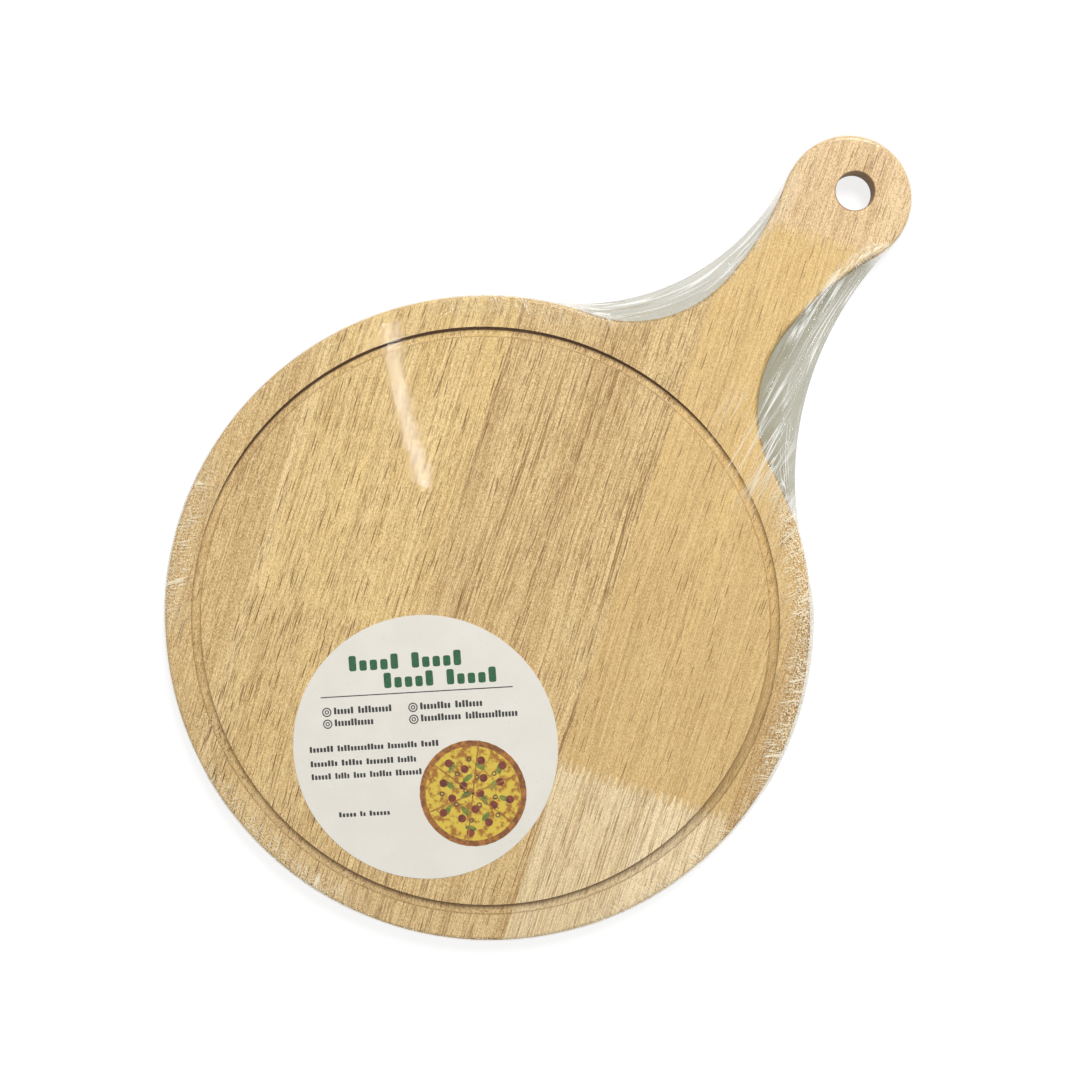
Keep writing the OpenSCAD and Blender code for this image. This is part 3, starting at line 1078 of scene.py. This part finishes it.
    def spot(self, station: Station, row: int, side: int) -> Spot:
        """A finished point of the bag: the section, its wrinkles and its marks."""
        point, out, way = self.section(station, row, side)
        up = point.y / MM
        free = ease(station.wood, 1 * MM, 6 * MM)
        edge = math.hypot(station.wood, self.seam_z)
        right = 1.0 if station.weld.x > 0 else 0.0
        hang = free * (1 - ease(way, edge * 0.75, edge * 1.05))
        onto_wood = 1 - ease(way, edge + 6 * MM, edge + 30 * MM)
        onto_wood *= window(up, self.pull_at)
        hem = 1 - ease(way, 5 * MM, 13 * MM) * right
        near_web = free * max(hang * (1 - 0.8 * hem), onto_wood * 0.75) * right
        on_disc = point.y < self.disc_r or station.wood < 2 * MM
        angle = math.degrees(math.atan2(point.y, point.x))
        rim = self.crinkle(angle) if on_disc else 0.4
        rim *= (1 - ease(way, 9 * MM, 20 * MM)) * (1 - 0.75 * hang)

        lean = Matrix.Rotation(-self.streak_turn, 2) @ Vector((point.x, point.y))
        pull = noise.noise(Vector((lean.x / (3.4 * MM), lean.y / (60 * MM), 3.7 + side)))
        pull += 0.5 * noise.noise(Vector((lean.x / (1.3 * MM), lean.y / (34 * MM), 8.1 + side)))
        tight = 1.4 * noise.noise(Vector((way / (2.2 * MM), station.along / (50 * MM), 6.3 + side)))
        pull += (tight - pull) * hem
        gather = noise.noise(Vector((station.along / (2.3 * MM), way / (7 * MM), 1.3 + side)))
        gather += 0.6 * noise.noise(Vector((station.along / (0.9 * MM), way / (4 * MM), 5.9 + side)))
        calm = noise.noise(Vector((point.x / (38 * MM), point.y / (38 * MM), 2.2)))

        relief = 0.4 * MM * pull * hang
        relief += 0.14 * MM * max(0.0, pull) * near_web * (1 - hang)
        relief += 0.22 * MM * max(0.0, gather) * rim
        relief += 0.03 * MM * (calm + 1) * ease(way, 4 * MM, 20 * MM)
        if side < 0:
            relief *= hang
        onto = 3.5 * MM * window(up, self.bulge_at) - 4 * MM * (1 - ease(up, 192, 212))
        band = window(up, self.band_at)
        band *= (1 - ease(abs(way - edge - onto), 1.4 * MM, 3.2 * MM)) * (0.4 + 0.6 * right)
        # Grey of the free film: partly its haze and partly a painted shadow of the board on the floor,
        # darker toward the wood and on the right web.
        haze_and_shade = free * (1 - ease(way, edge * 0.99, edge * 1.1)) * (0.6 + 0.4 * right)
        haze_and_shade *= 0.8 + 0.2 * ease(way, edge * 0.2, edge * 0.9)
        hem *= hang * (0.7 + 0.2 * right)
        return Spot(point + out * relief, station.along, way, near_web, hem, rim, haze_and_shade, band)

    def mark(self, vert: bmesh.types.BMVert, marks: dict, spot: Spot) -> None:
        """Writes a spot's place and marks to its vertex."""
        vert.co = spot.place
        for name, layer in marks.items():
            vert[layer] = getattr(spot, name)

    def build(self) -> bpy.types.Object:
        """Draws the bag row by row from its weld, up and down.

        Returns:
            The film's object.
        """
        self.lay_out()
        bag = bmesh.new()
        number = bag.verts.layers.int.new("station")
        marks = {name: bag.verts.layers.float.new(name) for name in FILM_MARKS}
        weld = []
        for index, station in enumerate(self.stations):
            free = ease(station.wood, 1 * MM, 6 * MM)
            place = Vector((station.weld.x, station.weld.y, self.seam_z))
            vert = bag.verts.new(place)
            vert[number] = index
            # Grey at the weld: partly the film's haze and partly painted shadow, darker on the right web.
            haze_and_shade = free * (0.48 if station.weld.x < 0 else 0.8)
            spot = Spot(place, station.along, hem=free * 0.8, pucker=0.4, haze_and_shade=haze_and_shade, weld=free)
            self.mark(vert, marks, spot)
            weld.append(vert)
        loop = [bag.edges.new((weld[i - 1], weld[i])) for i in range(len(weld))]
        last = self.slope_rows + self.bend_rows + self.flat_rows
        for side in (1, -1):
            ring = loop
            for row in range(1, last + 1):
                made = bmesh.ops.extrude_edge_only(bag, edges=ring)["geom"]
                ring = [part for part in made if isinstance(part, bmesh.types.BMEdge)]
                for vert in (part for part in made if isinstance(part, bmesh.types.BMVert)):
                    self.mark(vert, marks, self.spot(self.stations[vert[number]], row, side))
        bmesh.ops.remove_doubles(bag, verts=bag.verts, dist=0.02 * MM)
        bmesh.ops.recalc_face_normals(bag, faces=bag.faces)
        for face in bag.faces:
            face.smooth = True
        bag.verts.layers.int.remove(number)
        film = finished("film_bag", bag, FilmFinish().material())
        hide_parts("film_upper", "film_lower")
        return film


@dataclass
class Studio:
    """Camera, lamps, floor and surroundings."""

    camera_place: tuple[float, float, float] = (-4.784 * MM, 98.634 * MM, 706.826 * MM)
    camera_turn: tuple[float, float, float] = (-3.2773, 2.8548, 40.59)
    lens: float = 50.437
    sky: float = 0.304
    key_power: float = 35.0
    key_size: float = 0.6
    key_turn: float = math.radians(106)
    key_height: float = math.radians(50)
    key_away: float = 2.1
    aim: tuple[float, float, float] = (0.0, 40 * MM, 0.0)
    strips: tuple[tuple[float, float], ...] = ((25, 42), (185, 38), (285, 40))
    strip_away: float = 1.7
    strip_size: tuple[float, float] = (1.1, 0.04)
    strip_power: float = 2.6
    tube_rise: float = 1.4
    film_z: float = 12.95 * MM
    floor_glow: float = 1.1
    floor_share: float = 0.74

    def build(self) -> None:
        """Sets up the camera, the floor, the lamps and the surroundings."""
        bpy.context.scene.view_settings.view_transform = "Standard"
        self.set_camera()
        self.set_floor()
        self.set_sky()
        key = self.away(self.key_turn, self.key_height, self.key_away)
        aim = Vector(self.aim)
        self.lamp("key_lamp", key, aim, self.key_size, self.key_size, self.key_power)
        self.mirrored_tube("tube_lamp_1", Vector((-125, 77)) * MM, Vector((-98, 57)) * MM, 0.012, 31.0)
        self.mirrored_tube("tube_lamp_2", Vector((-98, 57)) * MM, Vector((-62, 31)) * MM, 0.008, 48.0)
        for number, (turn, rise) in enumerate(self.strips, 1):
            place = self.away(math.radians(turn), math.radians(rise), self.strip_away)
            self.lamp(f"strip_lamp_{number}", place, aim, *self.strip_size, self.strip_power)
        LOG.info("studio ready")

    def away(self, turn: float, rise: float, reach: float) -> Vector:
        """The place at a distance from the origin, in a direction round Z and above the floor."""
        flat = math.cos(rise) * reach
        return Vector((flat * math.cos(turn), flat * math.sin(turn), math.sin(rise) * reach))

    def set_camera(self) -> None:
        """Puts the camera at the photograph's viewing angle."""
        data = bpy.data.cameras.new("camera")
        data.lens = self.lens
        data.sensor_width = 36.0
        data.clip_start = 0.01
        camera = linked("camera", data)
        camera.location = self.camera_place
        camera.rotation_euler = Euler([math.radians(angle) for angle in self.camera_turn])
        bpy.context.scene.camera = camera

    def seen(self, mix: Recipe) -> Socket:
        """1 for rays from the camera, from gloss or through glass, and 0 for light."""
        path = mix.add("ShaderNodeLightPath").outputs
        direct = mix.most(path["Is Camera Ray"], path["Is Glossy Ray"])
        return mix.most(direct, path["Is Transmission Ray"])

    def set_floor(self) -> None:
        """Lays the pale floor, which shows the shadow and is otherwise white."""
        mix = Recipe("floor_white")
        paper = mix.add("ShaderNodeBsdfDiffuse", {"Color": (0.9, 0.9, 0.9, 1)}).outputs[0]
        glow = mix.add("ShaderNodeEmission", {"Color": WHITE, "Strength": self.floor_glow}).outputs[0]
        share = mix.times(self.seen(mix), self.floor_share)
        material = mix.finish(mix.layers(share, paper, glow))
        ground = bmesh.new()
        bmesh.ops.create_grid(ground, x_segments=2, y_segments=2, size=6.0)
        data = bpy.data.meshes.new("floor")
        ground.to_mesh(data)
        ground.free()
        data.materials.append(material)
        linked("floor", data)

    def set_sky(self) -> None:
        """Surrounds the scene with even soft light that shows as white."""
        world = bpy.data.worlds.new("surroundings")
        bpy.context.scene.world = world
        mix = Recipe(world.name, world)
        light = mix.add("ShaderNodeBackground", {"Color": WHITE, "Strength": self.sky}).outputs[0]
        white = mix.add("ShaderNodeBackground", {"Color": WHITE, "Strength": 1.0}).outputs[0]
        mix.finish(mix.layers(self.seen(mix), light, white))

    def lamp(
        self, name: str, place: Vector, aim: Vector, wide: float, high: float, power: float
    ) -> bpy.types.Object:
        """Hangs a flat lamp that faces a point."""
        data = bpy.data.lights.new(name, "AREA")
        data.shape = "RECTANGLE"
        data.size = wide
        data.size_y = high
        data.energy = power
        lamp = linked(name, data)
        lamp.location = place
        lamp.rotation_euler = (aim - place).to_track_quat("-Z", "Y").to_euler()
        return lamp

    def mirrored_tube(self, name: str, start: Vector, end: Vector, wide: float, glow: float) -> None:
        """Hangs a short tube lamp that the flat film mirrors to the camera along a line.

        Args:
            name: The lamp's name.
            start: Where its reflection starts on the film.
            end: Where it ends.
            wide: Its width.
            glow: Its radiance.
        """
        eye = Vector(self.camera_place)
        ends = []
        for spot in (start, end):
            away = (spot - eye.xy) / (eye.z - self.film_z) * self.tube_rise
            ends.append(Vector((spot.x + away.x, spot.y + away.y, self.film_z + self.tube_rise)))
        middle = (ends[0] + ends[1]) / 2
        along = ends[1] - ends[0]
        power = glow * math.pi * along.length * wide
        lamp = self.lamp(name, middle, middle - Vector((0, 0, 1)), along.length, wide, power)
        lamp.rotation_euler = Euler((0, 0, math.atan2(along.y, along.x)))


def main() -> None:
    """Builds the board's looks in order."""
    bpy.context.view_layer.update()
    Board().dress()
    LabelPrint().build()
    FilmBag().build()
    Studio().build()


if __name__ == "__main__":
    main()
